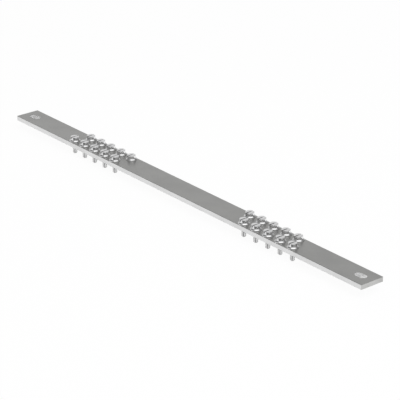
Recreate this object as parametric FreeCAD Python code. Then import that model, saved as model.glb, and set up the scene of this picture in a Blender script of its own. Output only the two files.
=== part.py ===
import FreeCAD, Part
import math
import os

# Earth terminal bar: a flat metal bar that gathers the protective-earth wires of an enclosure.
# Two groups of ten screws are tapped into it, in two staggered rows of five.
# Each slotted screw clamps its wire under a dished cup washer, and its point stands out below the bar.
# The bar is fixed through an obround slot near each end.
#
# Millimetres. X runs along the bar, Y across it and Z up.
# The origin is midway between the two fixing slots, on the underside of the bar.

# Bar
bar_length = 595.0
bar_width = 30.0
bar_thickness = 5.6
bar_edge_break = 0.3

# Fixing slots, one near each end of the bar
slot_length = 15.0
slot_width = 9.0
slot_to_bar_end = 16.5

# Terminal rows, the same at both ends of the bar
terminals_per_row = 5
terminal_pitch = 19.15
front_row_to_bar_end = 108.5
row_to_bar_edge = 6.8

# Terminal screw, M5 with a straight slot and a neck that keeps its washer captive
thread_diameter = 5.0
thread_clearance = 0.04
neck_diameter = 4.3
neck_below_bar_face = 0.4
head_diameter = 9.8
head_height = 3.6
head_edge_radius = 0.25
head_crown = 0.1
drive_slot_width = 1.5
drive_slot_depth = 2.2
point_chamfer = 0.7
point_below_bar = 9.5
hole_countersink = 0.35

# Cup washer, dished from one round of sheet
washer_diameter = 12.9
washer_sheet = 0.8
washer_height = 1.75
washer_rim_height = 0.8
washer_crown_diameter = 10.6
washer_bore_clearance = 0.25
washer_bend_radius = 0.4


def point(x, y, z):
    """Return a point as a vector."""
    return FreeCAD.Vector(x, y, z)


def line(start, end):
    """Join two (radius, height) points with a straight edge."""
    return Part.LineSegment(point(start[0], 0, start[1]), point(end[0], 0, end[1])).toShape()


def arc(start, middle, end):
    """Join two (radius, height) points with an arc through a middle one."""
    ends = [point(radius, 0, height) for radius, height in (start, middle, end)]
    return Part.Arc(*ends).toShape()


def revolve(edges):
    """Turn a closed outline of edges into a solid about the Z axis."""
    face = Part.Face(Part.Wire(edges))
    return face.revolve(point(0, 0, 0), point(0, 0, 1), 360)


def polygon(corners):
    """Close a list of (radius, height) corners with straight edges."""
    return [line(start, end) for start, end in zip(corners, corners[1:] + corners[:1])]


def circle_edge(solid, radius, height):
    """Find the circular edge of a turned solid that has this radius and height."""
    return min(
        (edge for edge in solid.Edges if isinstance(edge.Curve, Part.Circle)),
        key=lambda edge: abs(edge.Curve.Radius - radius) + abs(edge.Curve.Center.z - height),
    )


def terminal_places():
    """List (name, x, y) for each terminal, counted from the middle of the bar outwards."""
    outermost = bar_length / 2 - front_row_to_bar_end
    row_y = bar_width / 2 - row_to_bar_edge
    places = []
    for number in range(1, terminals_per_row + 1):
        front_x = outermost - terminal_pitch * (terminals_per_row - number)
        rear_x = front_x - terminal_pitch / 2
        for side, sign in (("left", -1), ("right", 1)):
            places.append((f"{side}_front_{number}", sign * front_x, -row_y))
            places.append((f"{side}_rear_{number}", sign * rear_x, row_y))
    return places


def make_slot_cutter(x):
    """Make the cutter of one obround fixing slot, centred at x."""
    radius = slot_width / 2
    half_straight = (slot_length - slot_width) / 2
    cutter = Part.makeBox(
        2 * half_straight, slot_width, bar_thickness, point(x - half_straight, -radius, 0)
    )
    for side in (-1, 1):
        end = Part.makeCylinder(radius, bar_thickness, point(x + side * half_straight, 0, 0))
        cutter = cutter.fuse(end)
    return cutter.removeSplitter()


def make_hole_cutter():
    """Make the cutter of a tapped screw hole on the Z axis, countersunk a little at both faces."""
    bore = thread_diameter / 2 + thread_clearance
    mouth = bore + hole_countersink
    return revolve(polygon([
        (0, 0),
        (mouth, 0),
        (bore, hole_countersink),
        (bore, bar_thickness - hole_countersink),
        (mouth, bar_thickness),
        (0, bar_thickness),
    ]))


def make_bar():
    """Make the bar with its fixing slots and its tapped holes."""
    bar = Part.makeBox(
        bar_length, bar_width, bar_thickness, point(-bar_length / 2, -bar_width / 2, 0)
    )
    bar = bar.makeChamfer(bar_edge_break, bar.Edges)
    slot_x = bar_length / 2 - slot_to_bar_end
    cutters = [make_slot_cutter(-slot_x), make_slot_cutter(slot_x)]
    for _, x, y in terminal_places():
        hole = make_hole_cutter()
        hole.translate(point(x, y, 0))
        cutters.append(hole)
    return bar.cut(cutters)


def make_screw():
    """Make one screw on the Z axis, with the top face of the bar at height zero."""
    seat = washer_height
    top = seat + head_height
    shoulder = top - head_crown
    head = head_diameter / 2
    flat = head - head_edge_radius
    bend = head_edge_radius * math.sqrt(0.5)
    dome_radius = (flat ** 2 + head_crown ** 2) / (2 * head_crown)
    dome_half = flat / 2
    dome_half_height = top - dome_radius + math.sqrt(dome_radius ** 2 - dome_half ** 2)
    thread = thread_diameter / 2
    neck = neck_diameter / 2
    neck_end = -neck_below_bar_face
    tip = -bar_thickness - point_below_bar
    outline = [
        line((0, tip), (thread - point_chamfer, tip)),
        line((thread - point_chamfer, tip), (thread, tip + point_chamfer)),
        line((thread, tip + point_chamfer), (thread, neck_end - thread + neck)),
        line((thread, neck_end - thread + neck), (neck, neck_end)),
        line((neck, neck_end), (neck, seat)),
        line((neck, seat), (head, seat)),
        line((head, seat), (head, shoulder - head_edge_radius)),
        arc(
            (head, shoulder - head_edge_radius),
            (flat + bend, shoulder - head_edge_radius + bend),
            (flat, shoulder),
        ),
        arc((flat, shoulder), (dome_half, dome_half_height), (0, top)),
        line((0, top), (0, tip)),
    ]
    drive_slot = Part.makeBox(
        drive_slot_width,
        2 * head_diameter,
        2 * drive_slot_depth,
        point(-drive_slot_width / 2, -head_diameter, top - drive_slot_depth),
    )
    return revolve(outline).cut(drive_slot)


def make_washer():
    """Make one cup washer on the Z axis, with its rim on height zero."""
    rim = washer_diameter / 2
    crown = washer_crown_diameter / 2
    bore = neck_diameter / 2 + washer_bore_clearance
    slope = math.atan2(washer_height - washer_rim_height, rim - crown)
    # The sheet has one thickness all through, so the inside follows the outside at that distance.
    roof = washer_height - washer_sheet
    inner_crown = crown - washer_sheet * math.tan(slope / 2)
    inner_rim = inner_crown + roof / math.tan(slope)
    washer = revolve(polygon([
        (bore, roof),
        (inner_crown, roof),
        (inner_rim, 0),
        (rim, 0),
        (rim, washer_rim_height),
        (crown, washer_height),
        (bore, washer_height),
    ]))
    bends = [circle_edge(washer, crown, washer_height), circle_edge(washer, rim, washer_rim_height)]
    return washer.makeFillet(washer_bend_radius, bends)


def export(shape, name):
    """Write one piece to its own STEP file."""
    shape.exportStep(f"parts/{name}.step")


def main():
    os.makedirs("parts", exist_ok=True)
    export(make_bar(), "earth_bar")
    screw = make_screw()
    washer = make_washer()
    for name, x, y in terminal_places():
        for kind, master in (("screw", screw), ("cup_washer", washer)):
            piece = master.copy()
            piece.translate(point(x, y, bar_thickness))
            export(piece, f"{kind}_{name}")


main()
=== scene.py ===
"""Looks of the earth terminal bar: plated metal, threaded terminal screws, studio and camera."""

import logging
import math
from dataclasses import dataclass, field, replace
from enum import Enum

import bmesh
import bpy
from mathutils import Matrix, Vector


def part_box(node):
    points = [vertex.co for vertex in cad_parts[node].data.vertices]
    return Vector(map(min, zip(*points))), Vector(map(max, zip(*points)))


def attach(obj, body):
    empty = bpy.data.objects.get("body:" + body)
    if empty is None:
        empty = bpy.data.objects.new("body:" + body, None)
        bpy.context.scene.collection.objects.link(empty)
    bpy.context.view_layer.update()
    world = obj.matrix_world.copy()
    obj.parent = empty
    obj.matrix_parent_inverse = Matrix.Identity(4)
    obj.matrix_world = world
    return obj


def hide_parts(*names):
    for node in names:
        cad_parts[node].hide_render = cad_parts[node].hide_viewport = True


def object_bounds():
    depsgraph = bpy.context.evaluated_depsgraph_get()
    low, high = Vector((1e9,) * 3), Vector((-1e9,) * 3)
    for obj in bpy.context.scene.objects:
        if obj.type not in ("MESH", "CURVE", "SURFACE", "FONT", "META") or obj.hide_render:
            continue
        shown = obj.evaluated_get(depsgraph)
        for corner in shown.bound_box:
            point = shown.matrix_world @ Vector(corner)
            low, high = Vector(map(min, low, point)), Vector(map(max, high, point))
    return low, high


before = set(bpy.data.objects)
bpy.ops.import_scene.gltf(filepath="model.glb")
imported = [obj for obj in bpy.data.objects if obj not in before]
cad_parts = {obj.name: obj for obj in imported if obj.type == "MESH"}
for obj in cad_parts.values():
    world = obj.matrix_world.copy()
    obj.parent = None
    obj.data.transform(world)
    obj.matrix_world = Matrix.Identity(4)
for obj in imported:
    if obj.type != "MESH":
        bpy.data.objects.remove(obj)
CAD_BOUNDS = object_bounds()

MM = 0.001
BODY = "root"
WELD_DISTANCE = 1e-4 * MM
MASK_MARGIN = 0.02 * MM
AXIS_PLACE = "place_about_axis"
CAMERA_AZIMUTH = 50.513

# The noise behind the finishes
GRAIN_DETAIL = 4.0
GRAIN_ROUGHNESS = 0.6
CLOUD_DETAIL = 3.0
CLOUD_DARKEST = 0.3
CLOUD_LIGHTEST = 0.7
RING_DETAIL = 2.0

# The sockets of a Mix node that blends colours, by number
MIX_FIRST = 6
MIX_SECOND = 7
MIX_RESULT = 2

Socket = bpy.types.NodeSocket
Color = tuple[float, float, float, float]
Stops = tuple[tuple[float, float], ...]

log = logging.getLogger("earth_terminal_bar")


class Ray(Enum):
    """The kinds of ray that a finish can tell apart, by their outputs on a Light Path node."""

    CAMERA = "Is Camera Ray"
    GLOSSY = "Is Glossy Ray"
    TRANSMISSION = "Is Transmission Ray"


class Rise(Enum):
    """The ways in which a share rises from 0 to 1."""

    STRAIGHT = "LINEAR"
    SMOOTH = "SMOOTHSTEP"


class NodeSheet:
    """Adds nodes to one tree and links them, so that a material reads from top to bottom."""

    def __init__(self, tree: bpy.types.NodeTree) -> None:
        """Start on an empty tree.

        Args:
            tree: the node tree to fill; what it holds is removed.
        """
        self.tree = tree
        tree.nodes.clear()

    def add(
        self, kind: str, settings: dict | None = None, inputs: dict | None = None
    ) -> bpy.types.Node:
        """Add a node.

        Args:
            kind: the node's type name.
            settings: properties of the node, by name.
            inputs: values or output sockets for its inputs, by name or number.

        Returns:
            The new node.
        """
        node = self.tree.nodes.new(kind)
        for name, value in (settings or {}).items():
            setattr(node, name, value)
        for name, value in (inputs or {}).items():
            if isinstance(value, Socket):
                self.tree.links.new(value, node.inputs[name])
            else:
                node.inputs[name].default_value = value
        return node

    def math(self, operation: str, *values: float | Socket) -> Socket:
        """Work out a number from numbers or sockets.

        Args:
            operation: the Math node's operation.
            values: its inputs in order.

        Returns:
            The result's socket.
        """
        inputs = dict(enumerate(values))
        return self.add("ShaderNodeMath", {"operation": operation}, inputs).outputs[0]

    def axis(self, vector: Socket, letter: str) -> Socket:
        """Return the socket of one coordinate of a vector."""
        return self.add("ShaderNodeSeparateXYZ", inputs={0: vector}).outputs[letter]

    def radius(self, place: Socket) -> Socket:
        """Work out how far a place is from the Z axis.

        Args:
            place: the place's socket.

        Returns:
            The distance's socket.
        """
        flat = [self.axis(place, letter) for letter in "XY"]
        squares = [self.math("MULTIPLY", along, along) for along in flat]
        return self.math("SQRT", self.math("ADD", *squares))

    def share(self, value: Socket, start: float, end: float, rise: Rise = Rise.SMOOTH) -> Socket:
        """Turn a value into a share that rises from 0 to 1 and stays between them.

        Args:
            value: the value's socket.
            start: the value at which the share leaves 0.
            end: the value at which it reaches 1.
            rise: how it rises.

        Returns:
            The share's socket.
        """
        reach = {"Value": value, "From Min": start, "From Max": end}
        node = self.add("ShaderNodeMapRange", {"interpolation_type": rise.value}, reach)
        return node.outputs["Result"]

    def blend(self, share: Socket, first: Socket | Color, second: Socket | Color) -> Socket:
        """Blend two colours.

        Args:
            share: how much of the second colour.
            first: the colour where the share is 0.
            second: the colour where the share is 1.

        Returns:
            The blended colour's socket.
        """
        inputs = {0: share, MIX_FIRST: first, MIX_SECOND: second}
        return self.add("ShaderNodeMix", {"data_type": "RGBA"}, inputs).outputs[MIX_RESULT]

    def ramp(self, factor: Socket, stops: Stops) -> Socket:
        """Turn a factor into a grey through a colour ramp.

        Args:
            factor: the socket that the ramp reads.
            stops: (place, grey) pairs in order.

        Returns:
            The ramp's colour socket.
        """
        node = self.add("ShaderNodeValToRGB", inputs={0: factor})
        elements = node.color_ramp.elements
        for _ in stops[2:]:
            elements.new(1.0)
        for element, (place, tone) in zip(elements, stops):
            element.position = place
            element.color = grey(tone)
        return node.outputs["Color"]


def grey(value: float, warmth: float = 0.0) -> Color:
    """Return a near-neutral colour, yellower where warmth is positive."""
    return (value, value, value * (1 - warmth), 1.0)


def start_group(name: str, spacing: tuple[str, str]) -> tuple[NodeSheet, bpy.types.Node]:
    """Start a shader node group that reads a place and puts out a value.

    Args:
        name: the group's name.
        spacing: name and socket type of the input that says how fine its pattern is.

    Returns:
        The group's sheet and its input node.
    """
    group = bpy.data.node_groups.new(name, "ShaderNodeTree")
    for label, kind in (("Vector", "NodeSocketVector"), spacing):
        group.interface.new_socket(name=label, in_out="INPUT", socket_type=kind)
    group.interface.new_socket(name="Value", in_out="OUTPUT", socket_type="NodeSocketFloat")
    sheet = NodeSheet(group)
    return sheet, sheet.add("NodeGroupInput")


def end_group(sheet: NodeSheet, value: Socket) -> bpy.types.NodeTree:
    """Put a value out of a group and return the group."""
    sheet.add("NodeGroupOutput", inputs={"Value": value})
    return sheet.tree


def make_grain_group() -> bpy.types.NodeTree:
    """Build the grain that rolling or pressing leaves in a metal face.

    Returns:
        A group that puts out noise about 0.5, stretched along the axes with few lines per metre.
    """
    sheet, given = start_group("metal_grain", ("Lines per metre", "NodeSocketVector"))
    stretched = sheet.add(
        "ShaderNodeVectorMath",
        {"operation": "MULTIPLY"},
        {0: given.outputs["Vector"], 1: given.outputs["Lines per metre"]},
    )
    noise = sheet.add(
        "ShaderNodeTexNoise",
        inputs={
            "Vector": stretched.outputs[0],
            "Scale": 1.0,
            "Detail": GRAIN_DETAIL,
            "Roughness": GRAIN_ROUGHNESS,
        },
    )
    return end_group(sheet, noise.outputs["Fac"])


def make_cloud_group() -> bpy.types.NodeTree:
    """Build the slow, cloudy change of tone that plating has over a face.

    Returns:
        A group that puts out soft noise, stretched to reach from about 0 to 1.
    """
    sheet, given = start_group("plating_cloud", ("Clouds per metre", "NodeSocketFloat"))
    noise = sheet.add(
        "ShaderNodeTexNoise",
        inputs={
            "Vector": given.outputs["Vector"],
            "Scale": given.outputs["Clouds per metre"],
            "Detail": CLOUD_DETAIL,
        },
    )
    return end_group(sheet, sheet.share(noise.outputs["Fac"], CLOUD_DARKEST, CLOUD_LIGHTEST))


def make_turning_group() -> bpy.types.NodeTree:
    """Build the rings that turning leaves about an axis, from a place measured off that axis.

    Returns:
        A group that puts out fine noise which changes with the radius and the height only.
    """
    sheet, given = start_group("turned_rings", ("Rings per metre", "NodeSocketFloat"))
    place = given.outputs["Vector"]
    reach = sheet.add(
        "ShaderNodeCombineXYZ",
        inputs={"X": sheet.radius(place), "Y": 0.0, "Z": sheet.axis(place, "Z")},
    )
    noise = sheet.add(
        "ShaderNodeTexNoise",
        inputs={
            "Vector": reach.outputs[0],
            "Scale": given.outputs["Rings per metre"],
            "Detail": RING_DETAIL,
        },
    )
    return end_group(sheet, noise.outputs["Fac"])


class Groups:
    """The shader node groups that the finishes share."""

    def __init__(self) -> None:
        """Build each group once."""
        self.grain = make_grain_group()
        self.cloud = make_cloud_group()
        self.turning = make_turning_group()

    @staticmethod
    def add(sheet: NodeSheet, group: bpy.types.NodeTree, inputs: dict) -> Socket:
        """Place a group on a sheet and return the socket of its value."""
        return sheet.add("ShaderNodeGroup", {"node_tree": group}, inputs).outputs["Value"]


@dataclass(frozen=True)
class Tone:
    """The two shades that one plated face drifts between."""

    dark: float
    light: float
    warmth: float = 0.0

    def mix(self, sheet: NodeSheet, share: Socket) -> Socket:
        """Return the socket of the two shades blended, by the share of the lighter one."""
        return sheet.blend(share, grey(self.dark, self.warmth), grey(self.light, self.warmth))


@dataclass(frozen=True, kw_only=True)
class Plating:
    """A plated metal finish: its tone, its gloss and the grain under the plating."""

    name: str
    tone: Tone
    roughness: float
    roughness_spread: float
    clouds_per_metre: float
    grain_depth: float
    lines_per_metre: tuple[float, float, float] = (2400.0, 2400.0, 2400.0)

    def build(self, groups: Groups) -> bpy.types.Material:
        """Make the material.

        Args:
            groups: the shared node groups.

        Returns:
            The finished material.
        """
        material = bpy.data.materials.new(self.name)
        material.use_nodes = True
        sheet = NodeSheet(material.node_tree)
        place = self.place(sheet)
        cloud = groups.add(
            sheet, groups.cloud, {"Vector": place, "Clouds per metre": self.clouds_per_metre}
        )
        grain = self.grain(sheet, groups, place)
        spread = self.roughness_spread
        bump = sheet.add(
            "ShaderNodeBump",
            inputs={"Height": grain, "Distance": self.grain_depth, "Strength": 1.0},
        )
        shader = sheet.add(
            "ShaderNodeBsdfPrincipled",
            inputs={
                "Base Color": self.color(sheet, place, cloud),
                "Metallic": self.metal(sheet, place),
                "Roughness": sheet.math(
                    "ADD",
                    self.gloss(sheet, place),
                    sheet.math("MULTIPLY_ADD", grain, 2 * spread, -spread),
                ),
                "Normal": bump.outputs["Normal"],
            },
        )
        sheet.add("ShaderNodeOutputMaterial", inputs={"Surface": shader.outputs["BSDF"]})
        return material

    def place(self, sheet: NodeSheet) -> Socket:
        """Return the socket of the place that the finish is laid by."""
        return sheet.add("ShaderNodeTexCoord").outputs["Object"]

    def grain(self, sheet: NodeSheet, groups: Groups, place: Socket) -> Socket:
        """Return the socket of the grain's value, about 0.5."""
        inputs = {"Vector": place, "Lines per metre": self.lines_per_metre}
        return groups.add(sheet, groups.grain, inputs)

    def metal(self, sheet: NodeSheet, place: Socket) -> float | Socket:
        """Return how metallic the face is, or its socket."""
        return 1.0

    def gloss(self, sheet: NodeSheet, place: Socket) -> float | Socket:
        """Return the roughness, or its socket, before the grain changes it."""
        return self.roughness

    def color(self, sheet: NodeSheet, place: Socket, cloud: Socket) -> Socket:
        """Return the socket of the metal's colour, by the share of the lighter shade."""
        return self.tone.mix(sheet, cloud)


@dataclass(frozen=True, kw_only=True)
class BarPlating(Plating):
    """The bar's plating: a darker tone on the wide faces and a much lighter one on the edges, as
    painted shade and painted light for how the light falls on each face, and a middle tone of their
    own on the sawn ends.

    The skin is how deep a face's own finish reaches, less than the bar's edge break. The corner
    reaches just past that break.
    """

    # Painted light: the edges' tone is far lighter than the wide faces' tone of the same plating.
    edge_painted_light_tone: Tone
    sawn_tone: Tone
    edge_roughness: float
    low: Vector = Vector()
    high: Vector = Vector()
    skin: float = 0.25 * MM
    corner: float = 0.32 * MM

    def at_faces(self, sheet: NodeSheet, place: Socket, axis: str, depth: float) -> Socket:
        """Mask the bar's two outer faces across one axis.

        Args:
            sheet: the material's node sheet.
            place: the socket of the place.
            axis: the axis, by its letter.
            depth: how far below the faces the mask reaches.

        Returns:
            The mask's socket.
        """
        number = "XYZ".index(axis)
        middle = (self.low[number] + self.high[number]) / 2
        reach = self.high[number] - middle - depth
        off = sheet.math("ABSOLUTE", sheet.math("SUBTRACT", sheet.axis(place, axis), middle))
        return sheet.math("GREATER_THAN", off, reach)

    def metal(self, sheet: NodeSheet, place: Socket) -> float | Socket:
        """Return the socket of how metallic the face is; filed upright corners scatter light."""
        sides = [self.at_faces(sheet, place, axis, self.corner) for axis in "XY"]
        return sheet.math("SUBTRACT", 1.0, sheet.math("MULTIPLY", *sides))

    def gloss(self, sheet: NodeSheet, place: Socket) -> float | Socket:
        """Return the socket of the roughness, higher on every edge than on the rolled faces.

        Args:
            sheet: the material's node sheet.
            place: the socket of the place.

        Returns:
            The roughness's socket.
        """
        rolled = self.at_faces(sheet, place, "Z", self.skin)
        drop = self.roughness - self.edge_roughness
        return sheet.math("MULTIPLY_ADD", rolled, drop, self.edge_roughness)

    def color(self, sheet: NodeSheet, place: Socket, cloud: Socket) -> Socket:
        """Colour the bar by which of its faces the place is on: painted shade on the wide faces,
        painted light on the edges.

        Args:
            sheet: the material's node sheet.
            place: the socket of the place.
            cloud: the share of the lighter shade.

        Returns:
            The colour's socket.
        """
        # Painted light on the edges, then painted shade on the wide faces and a tone of their own
        # on the sawn ends.
        color = self.edge_painted_light_tone.mix(sheet, cloud)
        for axis, tone in (("Z", self.tone), ("X", self.sawn_tone)):
            mask = self.at_faces(sheet, place, axis, self.skin)
            color = sheet.blend(mask, color, tone.mix(sheet, cloud))
        return color


@dataclass(frozen=True, kw_only=True)
class TurnedPlating(Plating):
    """The plating of a turned screw, whose mesh holds each point's place about the screw's axis."""

    rings_per_metre: float = 5000.0
    # Painted shade: the drive slot and the thread's grooves get darker tones than the rest of the
    # screw.
    slot_painted_shade_tone: Tone = Tone(0.74, 0.80)
    slot_roughness: float = 0.35
    groove_painted_shade_tone: Tone = Tone(0.70, 0.76)
    slot_half: float = 0.0
    slot_floor: float = 0.0
    thread_end: float = 0.0
    thread_root: float = 0.0
    thread_crest: float = 0.0

    def place(self, sheet: NodeSheet) -> Socket:
        """Return the socket of the place about the axis."""
        return sheet.add("ShaderNodeAttribute", {"attribute_name": AXIS_PLACE}).outputs["Vector"]

    def grain(self, sheet: NodeSheet, groups: Groups, place: Socket) -> Socket:
        """Return the socket of the rings' value, about 0.5."""
        inputs = {"Vector": place, "Rings per metre": self.rings_per_metre}
        return groups.add(sheet, groups.turning, inputs)

    def in_slot(self, sheet: NodeSheet, place: Socket) -> Socket:
        """Mask the walls and the floor of the drive slot.

        Args:
            sheet: the material's node sheet.
            place: the socket of the place.

        Returns:
            The mask's socket.
        """
        aside = sheet.math("ABSOLUTE", sheet.axis(place, "X"))
        between = sheet.math("LESS_THAN", aside, self.slot_half + MASK_MARGIN)
        height = sheet.axis(place, "Z")
        above = sheet.math("GREATER_THAN", height, self.slot_floor - MASK_MARGIN)
        return sheet.math("MULTIPLY", between, above)

    def groove_shade_mask(self, sheet: NodeSheet, place: Socket) -> Socket:
        """Mask the thread's grooves, more with their depth.

        Args:
            sheet: the material's node sheet.
            place: the socket of the place.

        Returns:
            The mask's socket.
        """
        radius = sheet.radius(place)
        crest = self.thread_crest - MASK_MARGIN
        depth = sheet.share(radius, crest, self.thread_root, Rise.STRAIGHT)
        below = sheet.math("LESS_THAN", sheet.axis(place, "Z"), self.thread_end)
        return sheet.math("MULTIPLY", below, depth)

    def gloss(self, sheet: NodeSheet, place: Socket) -> float | Socket:
        """Return the socket of the roughness, higher in the sawn drive slot.

        Args:
            sheet: the material's node sheet.
            place: the socket of the place.

        Returns:
            The roughness's socket.
        """
        inside = self.in_slot(sheet, place)
        climb = self.slot_roughness - self.roughness
        return sheet.math("MULTIPLY_ADD", inside, climb, self.roughness)

    def color(self, sheet: NodeSheet, place: Socket, cloud: Socket) -> Socket:
        """Colour the screw, with painted shade in the drive slot and down in the thread's grooves.

        Args:
            sheet: the material's node sheet.
            place: the socket of the place.
            cloud: the share of the lighter shade.

        Returns:
            The colour's socket.
        """
        color = self.tone.mix(sheet, cloud)
        # Painted shade in the drive slot and down in the thread's grooves, where the recesses are
        # dark.
        for mask, tone in (
            (self.in_slot(sheet, place), self.slot_painted_shade_tone),
            (self.groove_shade_mask(sheet, place), self.groove_painted_shade_tone),
        ):
            color = sheet.blend(mask, color, tone.mix(sheet, cloud))
        return color


TINNED_BAR = BarPlating(
    name="tinned_bar",
    # Painted shade on the wide faces and painted light on the edges: the two tones stand for how
    # the light falls on them.
    tone=Tone(0.424, 0.457, 0.022),
    edge_painted_light_tone=Tone(0.89, 0.95),
    sawn_tone=Tone(0.60, 0.72, 0.015),
    edge_roughness=0.55,
    roughness=0.34,
    roughness_spread=0.04,
    clouds_per_metre=45.0,
    lines_per_metre=(60.0, 5000.0, 5000.0),
    grain_depth=0.004 * MM,
)
ZINC_SCREW = TurnedPlating(
    name="bright_zinc_screw",
    tone=Tone(0.84, 0.91, -0.004),
    roughness=0.08,
    roughness_spread=0.02,
    clouds_per_metre=400.0,
    grain_depth=0.001 * MM,
)
ZINC_WASHER = Plating(
    name="bright_zinc_washer",
    tone=Tone(0.77, 0.85, -0.004),
    roughness=0.08,
    roughness_spread=0.02,
    clouds_per_metre=300.0,
    grain_depth=0.001 * MM,
)


@dataclass
class TerminalScrew:
    """One slotted terminal screw with a rolled thread, about the Z axis from the bar's top."""

    point: float
    top: float
    thread_diameter: float = 5.0 * MM
    thread_pitch: float = 0.8 * MM
    thread_depth_share: float = 0.6134
    thread_crest_share: float = 0.125
    thread_flank_angle: float = math.radians(30)
    spare_turns: int = 2
    neck_diameter: float = 4.3 * MM
    neck_below_bar_face: float = 0.4 * MM
    head_diameter: float = 9.8 * MM
    head_height: float = 3.6 * MM
    head_edge_radius: float = 0.25 * MM
    head_crown: float = 0.1 * MM
    drive_slot_width: float = 1.5 * MM
    drive_slot_depth: float = 2.2 * MM
    drive_slot_break: float = 0.1 * MM
    point_chamfer: float = 0.7 * MM
    steps_per_turn: int = 40
    edge_steps: int = 4
    crown_steps: int = 3
    smooth_angle: float = math.radians(28)

    @property
    def seat(self) -> float:
        """Height of the head's underside."""
        return self.top - self.head_height

    @property
    def drive_slot_floor(self) -> float:
        """Height of the drive slot's floor."""
        return self.top - self.drive_slot_depth

    @property
    def thread_root(self) -> float:
        """Radius of the thread's grooves."""
        return self.thread_diameter / 2 - self.thread_depth_share * self.thread_pitch

    @property
    def thread_end(self) -> float:
        """Height where the thread runs out into the neck."""
        return -self.neck_below_bar_face - (self.thread_diameter - self.neck_diameter) / 2

    def build(self, name: str) -> bpy.types.Mesh:
        """Make the screw's mesh.

        Args:
            name: the mesh's name.

        Returns:
            A closed mesh with smooth faces and sharp edges.
        """
        bm = bmesh.new()
        self._roll_thread(bm)
        self._close_point(bm)
        self._raise_head(bm)
        self._cut_drive_slot(bm)
        bmesh.ops.recalc_face_normals(bm, faces=bm.faces)
        mesh = bpy.data.meshes.new(name)
        bm.to_mesh(mesh)
        bm.free()
        mesh.shade_smooth()
        mesh.set_sharp_from_angle(angle=self.smooth_angle)
        places = mesh.attributes.new(AXIS_PLACE, "FLOAT_VECTOR", "POINT")
        for vert, place in zip(mesh.vertices, places.data):
            place.vector = vert.co
        return mesh

    def _thread_profile(self) -> list[tuple[float, float]]:
        """List (radius, height) along one pitch of the thread, from groove to groove.

        Returns:
            The profile's corners, from the bottom up.
        """
        crest = self.thread_diameter / 2
        root = self.thread_root
        middle = self.thread_pitch / 2
        crest_half = self.thread_crest_share * self.thread_pitch / 2
        foot_half = crest_half + (crest - root) * math.tan(self.thread_flank_angle)
        return [
            (root, 0.0),
            (root, middle - foot_half),
            (crest, middle - crest_half),
            (crest, middle + crest_half),
            (root, middle + foot_half),
            (root, self.thread_pitch),
        ]

    def _roll_thread(self, bm: bmesh.types.BMesh) -> None:
        """Spin one pitch of the thread's profile up the shank, some turns too far, and trim it.

        Args:
            bm: the mesh to add it to.
        """
        pitch = self.thread_pitch
        start = self.point - pitch
        turns = math.ceil((self.thread_end - self.point) / pitch) + self.spare_turns
        profile = self._thread_profile()
        verts = [bm.verts.new((radius, 0.0, start + height)) for radius, height in profile]
        edges = [bm.edges.new(pair) for pair in zip(verts, verts[1:])]
        bmesh.ops.spin(
            bm,
            geom=verts + edges,
            cent=(0.0, 0.0, 0.0),
            axis=(0.0, 0.0, 1.0),
            dvec=(0.0, 0.0, pitch / self.steps_per_turn),
            angle=turns * math.tau,
            steps=turns * self.steps_per_turn,
            use_merge=False,
        )
        bmesh.ops.remove_doubles(bm, verts=bm.verts, dist=WELD_DISTANCE)
        for height, side in ((self.point, -1.0), (self.thread_end, 1.0)):
            bmesh.ops.bisect_plane(
                bm,
                geom=bm.verts[:] + bm.edges[:] + bm.faces[:],
                dist=WELD_DISTANCE,
                plane_co=(0.0, 0.0, height),
                plane_no=(0.0, 0.0, side),
                clear_outer=True,
            )

    def _close_point(self, bm: bmesh.types.BMesh) -> None:
        """Chamfer the point's thread and close it with a flat face.

        Args:
            bm: the mesh that holds the thread.
        """
        flat = self.thread_diameter / 2 - self.point_chamfer
        for vert in bm.verts:
            radius = vert.co.xy.length
            limit = flat + vert.co.z - self.point
            if radius > limit:
                vert.co.xy *= limit / radius
        bmesh.ops.edgeloop_fill(bm, edges=self._open_edges(bm, "Z", self.point))

    def _extend(
        self, bm: bmesh.types.BMesh, loop: list[bmesh.types.BMEdge], radius: float, height: float
    ) -> list[bmesh.types.BMEdge]:
        """Extrude an open loop to a circle about the axis.

        Args:
            bm: the mesh.
            loop: its open edges.
            radius: the circle's radius.
            height: the circle's height.

        Returns:
            The new open edges.
        """
        grown = bmesh.ops.extrude_edge_only(bm, edges=loop)["geom"]
        for vert in (item for item in grown if isinstance(item, bmesh.types.BMVert)):
            vert.co.xy *= radius / vert.co.xy.length
            vert.co.z = height
        return [item for item in grown if isinstance(item, bmesh.types.BMEdge) and item.is_boundary]

    def _head_outline(self) -> list[tuple[float, float]]:
        """List (radius, height) from the thread's end over the neck and the head.

        Returns:
            The outline's corners, up to the last one before the axis.
        """
        neck = self.neck_diameter / 2
        head = self.head_diameter / 2
        edge = self.head_edge_radius
        shoulder = self.top - self.head_crown
        outline = [
            (neck, -self.neck_below_bar_face),
            (neck, self.seat),
            (head, self.seat),
        ]
        flat = head - edge
        for step in range(self.edge_steps + 1):
            turn = step / self.edge_steps * math.pi / 2
            height = shoulder - edge + edge * math.sin(turn)
            outline.append((flat + edge * math.cos(turn), height))
        for step in range(self.crown_steps - 1, 0, -1):
            share = step / self.crown_steps
            outline.append((flat * share, shoulder + self.head_crown * (1 - share**2)))
        return outline

    def _raise_head(self, bm: bmesh.types.BMesh) -> None:
        """Grow the neck and the head from the thread's upper end and close the crown.

        Args:
            bm: the mesh that holds the thread.
        """
        loop = self._open_edges(bm, "Z", self.thread_end)
        for radius, height in self._head_outline():
            loop = self._extend(bm, loop, radius, height)
        bmesh.ops.edgeloop_fill(bm, edges=loop)

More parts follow.
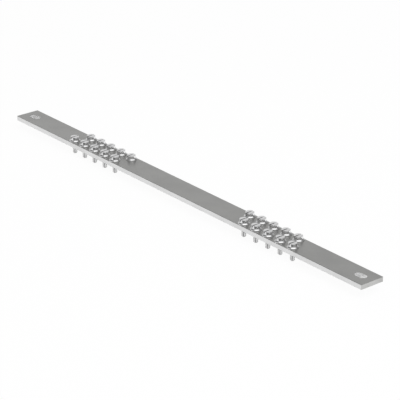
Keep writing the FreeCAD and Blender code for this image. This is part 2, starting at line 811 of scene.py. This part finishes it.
    def _cut_drive_slot(self, bm: bmesh.types.BMesh) -> None:
        """Cut the straight drive slot across the head, along Y, and break its edges.

        Args:
            bm: the mesh that holds the whole screw.
        """
        floor = self.drive_slot_floor
        half = self.drive_slot_width / 2
        self._score_head(bm, (0.0, 0.0, floor), (0.0, 0.0, 1.0), self.seat)
        self._score_head(bm, (half, 0.0, 0.0), (1.0, 0.0, 0.0), floor)
        self._score_head(bm, (-half, 0.0, 0.0), (-1.0, 0.0, 0.0), floor)
        inside = []
        for face in bm.faces:
            middle = face.calc_center_median()
            if middle.z > floor and abs(middle.x) < half:
                inside.append(face)
        bmesh.ops.delete(bm, geom=inside, context="FACES")
        rims = self._line_drive_slot(bm)
        bmesh.ops.bevel(
            bm,
            geom=rims,
            offset=self.drive_slot_break,
            segments=2,
            profile=0.5,
            affect="EDGES",
            material=-1,
        )
        bmesh.ops.dissolve_degenerate(bm, dist=WELD_DISTANCE, edges=bm.edges)

    @staticmethod
    def _score_head(
        bm: bmesh.types.BMesh,
        place: tuple[float, float, float],
        normal: tuple[float, float, float],
        lowest: float,
    ) -> None:
        """Split the head's faces along a plane.

        Args:
            bm: the mesh that holds the whole screw.
            place: a point of the plane.
            normal: the plane's normal.
            lowest: only faces whose middle is above this height are split.
        """
        limit = lowest + WELD_DISTANCE
        faces = [face for face in bm.faces if face.calc_center_median().z > limit]
        edges = {edge for face in faces for edge in face.edges}
        verts = {vert for face in faces for vert in face.verts}
        bmesh.ops.bisect_plane(
            bm,
            geom=[*verts, *edges, *faces],
            dist=WELD_DISTANCE,
            plane_co=place,
            plane_no=normal,
        )

    def _line_drive_slot(self, bm: bmesh.types.BMesh) -> list[bmesh.types.BMEdge]:
        """Close the opened head with the drive slot's two walls and its floor.

        Args:
            bm: the mesh, with the faces over the slot taken out.

        Returns:
            The edges round both walls, but for their feet.
        """
        floor = self.drive_slot_floor
        rims = []
        floor_edges = self._open_edges(bm, "Z", floor)
        for side in (-self.drive_slot_width / 2, self.drive_slot_width / 2):
            rim = self._open_edges(bm, "X", side)
            ends = [
                vert
                for vert in {vert for edge in rim for vert in edge.verts}
                if abs(vert.co.z - floor) < WELD_DISTANCE
            ]
            foot = bm.edges.new(ends)
            bmesh.ops.contextual_create(bm, geom=[*rim, foot])
            floor_edges.append(foot)
            rims.extend(rim)
        bmesh.ops.contextual_create(bm, geom=floor_edges)
        return rims

    @staticmethod
    def _open_edges(bm: bmesh.types.BMesh, axis: str, value: float) -> list[bmesh.types.BMEdge]:
        """Find the open edges that have one coordinate at a value.

        Args:
            bm: the mesh.
            axis: the coordinate's axis, by its letter.
            value: the coordinate's value.

        Returns:
            The boundary edges whose two ends are both at that value.
        """
        number = "XYZ".index(axis)
        return [
            edge
            for edge in bm.edges
            if edge.is_boundary
            and all(abs(vert.co[number] - value) < WELD_DISTANCE for vert in edge.verts)
        ]


@dataclass
class Bar:
    """The plated bar, which keeps the frame's own mesh."""

    node: str = "earth_bar"
    finish: BarPlating = TINNED_BAR

    def dress(self, groups: Groups) -> None:
        """Give the bar its finish.

        Args:
            groups: the shared node groups.
        """
        low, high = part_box(self.node)
        finish = replace(self.finish, low=low, high=high)
        paint(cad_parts[self.node], finish.build(groups))
        log.info("%s: dressed with %s", self.node, finish.name)

    @property
    def top(self) -> float:
        """Height of the face that carries the terminals."""
        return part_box(self.node)[1].z


@dataclass
class Terminals:
    """The terminal screws and their cup washers, each at the place that the frame gives."""

    bar: Bar
    screw_prefix: str = "screw_"
    washer_prefix: str = "cup_washer_"
    piece_prefix: str = "threaded_"
    screw_finish: TurnedPlating = ZINC_SCREW
    washer_finish: Plating = ZINC_WASHER
    pieces: list[bpy.types.Object] = field(default_factory=list)

    def build(self, groups: Groups) -> None:
        """Make the threaded screws in place of the plain ones and dress the washers.

        Args:
            groups: the shared node groups.
        """
        washer_metal = self.washer_finish.build(groups)
        screws = [node for node in sorted(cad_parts) if node.startswith(self.screw_prefix)]
        low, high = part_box(screws[0])
        screw = TerminalScrew(point=low.z - self.bar.top, top=high.z - self.bar.top)
        master = screw.build("terminal_screw")
        finish = replace(
            self.screw_finish,
            slot_half=screw.drive_slot_width / 2,
            slot_floor=screw.drive_slot_floor,
            thread_end=screw.thread_end,
            thread_root=screw.thread_root,
            thread_crest=screw.thread_diameter / 2,
        )
        screw_metal = finish.build(groups)
        for node in sorted(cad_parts):
            if node in screws:
                self._add_screw(node, master, screw_metal)
            elif node.startswith(self.washer_prefix):
                paint(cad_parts[node], washer_metal)
                log.info("%s: dressed with %s", node, self.washer_finish.name)

    def _add_screw(self, node: str, master: bpy.types.Mesh, material: bpy.types.Material) -> None:
        """Put one threaded screw where the frame has a plain one.

        Args:
            node: the frame's screw.
            master: the mesh that every screw is a copy of.
            material: its finish.
        """
        low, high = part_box(node)
        middle = (low + high) / 2
        name = self.piece_prefix + node
        mesh = master.copy()
        mesh.name = name
        mesh.transform(Matrix.Translation((middle.x, middle.y, self.bar.top)))
        mesh.materials.append(material)
        piece = bpy.data.objects.new(name, mesh)
        bpy.context.scene.collection.objects.link(piece)
        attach(piece, BODY)
        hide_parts(node)
        self.pieces.append(piece)
        log.info("%s: %d faces, in place of %s", name, len(mesh.polygons), node)


def paint(node: bpy.types.Object, material: bpy.types.Material) -> None:
    """Put a material in every slot of one of the frame's nodes."""
    for slot in node.material_slots:
        slot.material = material


@dataclass
class Studio:
    """A white floor, a soft overhead panel and a pale room that lights the metal and shows in it.

    To the camera, the share camera_white of the floor is plain white, and the rest keeps the bar's
    shadow. The room is a ramp of greys above the horizon and another one below it. Each ramp's
    stops are (share, grey) pairs, from the side away from its azimuth to the side towards it.
    Straight down the room has one plain tone. The horizon and the nadir say between which heights
    of a direction one part of the room turns into the next.
    """

    floor_height: float
    floor_radius: float = 3.0
    floor_segments: int = 96
    floor_albedo: float = 0.9
    camera_white: float = 0.9
    white_strength: float = 1.045
    upper_azimuth: float = 241.0
    upper_room: Stops = (
        (0.0, 0.62),
        (0.30, 0.56),
        (0.45, 0.38),
        (0.58, 0.22),
        (0.76, 0.27),
        (0.88, 0.60),
        (0.96, 0.72),
        (1.0, 0.74),
    )
    lower_azimuth: float = 38.0
    lower_room: Stops = (
        (0.0, 0.85),
        (0.45, 1.0),
        (0.58, 0.94),
        (0.70, 0.76),
        (0.86, 1.0),
        (0.905, 0.22),
        (1.0, 0.15),
    )
    horizon: tuple[float, float] = (-0.12, 0.04)
    nadir: tuple[float, float] = (-0.95, -0.6)
    nadir_tone: float = 0.75
    panel_wide: float = 1.6
    panel_deep: float = 1.95
    panel_height: float = 1.6
    panel_right: float = 0.40
    panel_near: float = 0.625
    panel_azimuth: float = CAMERA_AZIMUTH
    panel_radiance: float = 0.80

    def build(self) -> None:
        """Make the floor, the light and the room."""
        self._lay_floor()
        self._hang_panel()
        self._paint_room()

    def _lay_floor(self) -> None:
        """Make the round floor under the bar."""
        bm = bmesh.new()
        bmesh.ops.create_circle(
            bm, cap_ends=True, segments=self.floor_segments, radius=self.floor_radius
        )
        bmesh.ops.translate(bm, verts=bm.verts, vec=(0.0, 0.0, self.floor_height))
        mesh = bpy.data.meshes.new("floor")
        bm.to_mesh(mesh)
        bm.free()
        mesh.materials.append(self._floor_material())
        floor = bpy.data.objects.new("floor", mesh)
        bpy.context.scene.collection.objects.link(floor)

    def _floor_material(self) -> bpy.types.Material:
        """Make the floor's finish, white to an eye above it and clear to polished metal.

        Returns:
            The finished material.
        """
        material = bpy.data.materials.new("white_floor")
        material.use_nodes = True
        sheet = NodeSheet(material.node_tree)
        path = sheet.add("ShaderNodeLightPath")
        seen = self._seen(sheet, path)
        diffuse = sheet.add("ShaderNodeBsdfDiffuse", inputs={"Color": grey(self.floor_albedo)})
        white = sheet.add(
            "ShaderNodeEmission", inputs={"Color": grey(1.0), "Strength": self.white_strength}
        )
        plain = sheet.add(
            "ShaderNodeMixShader",
            inputs={
                0: sheet.math("MULTIPLY", seen, self.camera_white),
                1: diffuse.outputs[0],
                2: white.outputs[0],
            },
        )
        # Polished metal shows the pale room through the floor, and so does an eye below it.
        under = sheet.add("ShaderNodeNewGeometry").outputs["Backfacing"]
        eye_below = sheet.math("MULTIPLY", seen, under)
        clear = sheet.math("MAXIMUM", path.outputs[Ray.GLOSSY.value], eye_below)
        glass = sheet.add("ShaderNodeBsdfTransparent")
        mixed = sheet.add(
            "ShaderNodeMixShader", inputs={0: clear, 1: plain.outputs[0], 2: glass.outputs[0]}
        )
        sheet.add("ShaderNodeOutputMaterial", inputs={"Surface": mixed.outputs[0]})
        return material

    def _hang_panel(self) -> None:
        """Hang the wide light panel overhead, a little to the camera's right, facing down."""
        light = bpy.data.lights.new("overhead_panel", "AREA")
        light.shape = "RECTANGLE"
        light.size = self.panel_wide
        light.size_y = self.panel_deep
        light.energy = self.panel_radiance * math.pi * self.panel_wide * self.panel_deep
        lamp = bpy.data.objects.new("overhead_panel", light)
        bpy.context.scene.collection.objects.link(lamp)
        near = direction(self.panel_azimuth, 0.0) * self.panel_near
        right = direction(self.panel_azimuth + 90, 0.0) * self.panel_right
        lamp.location = near + right + Vector((0.0, 0.0, self.panel_height))
        lamp.rotation_euler = (0.0, 0.0, math.radians(self.panel_azimuth))

    def _paint_room(self) -> None:
        """Give the world its grey room, and pure white where the camera looks past the floor."""
        world = bpy.data.worlds.new("studio_room")
        bpy.context.scene.world = world
        world.use_nodes = True
        sheet = NodeSheet(world.node_tree)
        seen = self._seen(sheet, sheet.add("ShaderNodeLightPath"))
        sight = sheet.add("ShaderNodeTexCoord").outputs["Generated"]
        height = sheet.axis(sight, "Z")
        upper = sheet.ramp(self._towards(sheet, sight, self.upper_azimuth), self.upper_room)
        lower = sheet.ramp(self._towards(sheet, sight, self.lower_azimuth), self.lower_room)
        below = sheet.blend(sheet.share(height, *self.nadir), grey(self.nadir_tone), lower)
        tone = sheet.blend(sheet.share(height, *self.horizon), below, upper)
        room = sheet.add("ShaderNodeBackground", inputs={"Color": tone, "Strength": 1.0})
        white = sheet.add("ShaderNodeBackground", inputs={"Color": grey(1.0), "Strength": 1.0})
        mixed = sheet.add(
            "ShaderNodeMixShader", inputs={0: seen, 1: room.outputs[0], 2: white.outputs[0]}
        )
        sheet.add("ShaderNodeOutputWorld", inputs={"Surface": mixed.outputs[0]})

    @staticmethod
    def _seen(sheet: NodeSheet, path: bpy.types.Node) -> Socket:
        """Return the socket that is 1 for what the camera sees, straight or through glass."""
        rays = (path.outputs[ray.value] for ray in (Ray.CAMERA, Ray.TRANSMISSION))
        return sheet.math("MAXIMUM", *rays)

    @staticmethod
    def _towards(sheet: NodeSheet, sight: Socket, azimuth: float) -> Socket:
        """Turn a direction into a share from 0, away from an azimuth, to 1, towards it.

        Args:
            sheet: the world's node sheet.
            sight: the direction's socket.
            azimuth: the azimuth, in degrees.

        Returns:
            The share's socket.
        """
        along = sheet.add(
            "ShaderNodeVectorMath",
            {"operation": "DOT_PRODUCT"},
            {0: sight, 1: direction(azimuth, 0.0)},
        )
        return sheet.math("MULTIPLY_ADD", along.outputs["Value"], 0.5, 0.5)


def direction(azimuth: float, elevation: float) -> Vector:
    """Work out the way from the object to an eye or lamp.

    Args:
        azimuth: degrees from -Y towards +X.
        elevation: degrees above the ground.

    Returns:
        A vector of length 1.
    """
    turn = math.radians(azimuth)
    rise = math.radians(elevation)
    flat = math.cos(rise)
    return Vector((math.sin(turn) * flat, -math.cos(turn) * flat, math.sin(rise)))


@dataclass(frozen=True)
class Viewpoint:
    """The photograph's camera, solved from the bar's corners and its slots."""

    azimuth: float = CAMERA_AZIMUTH
    elevation: float = 23.717
    distance: float = 2.1238
    aside: float = 18.897 * MM
    above: float = -12.499 * MM
    lens: float = 174.36
    sensor: float = 36.0

    def build(self, target_height: float) -> None:
        """Make the camera and set it as the scene's own.

        Args:
            target_height: height of the bar's top face, which the camera was solved on.
        """
        back = direction(self.azimuth, self.elevation)
        right = direction(self.azimuth + 90, 0.0)
        up = back.cross(right)
        data = bpy.data.cameras.new("camera")
        data.lens = self.lens
        data.sensor_width = self.sensor
        camera = bpy.data.objects.new("camera", data)
        bpy.context.scene.collection.objects.link(camera)
        turn = Matrix((right, up, back)).transposed()
        place = back * self.distance + right * self.aside + up * self.above
        place.z += target_height
        camera.matrix_world = Matrix.Translation(place) @ turn.to_4x4()
        bpy.context.scene.camera = camera


def main() -> None:
    """Dress the bar and its terminals, then set up the studio and the camera."""
    logging.basicConfig(level=logging.INFO, format="%(name)s: %(message)s")
    bpy.context.scene.view_settings.view_transform = "Standard"
    groups = Groups()
    bar = Bar()
    bar.dress(groups)
    terminals = Terminals(bar)
    terminals.build(groups)
    log.info("%d threaded screws", len(terminals.pieces))
    Studio(floor_height=CAD_BOUNDS[0].z).build()
    Viewpoint().build(bar.top)


if __name__ == "__main__":
    main()
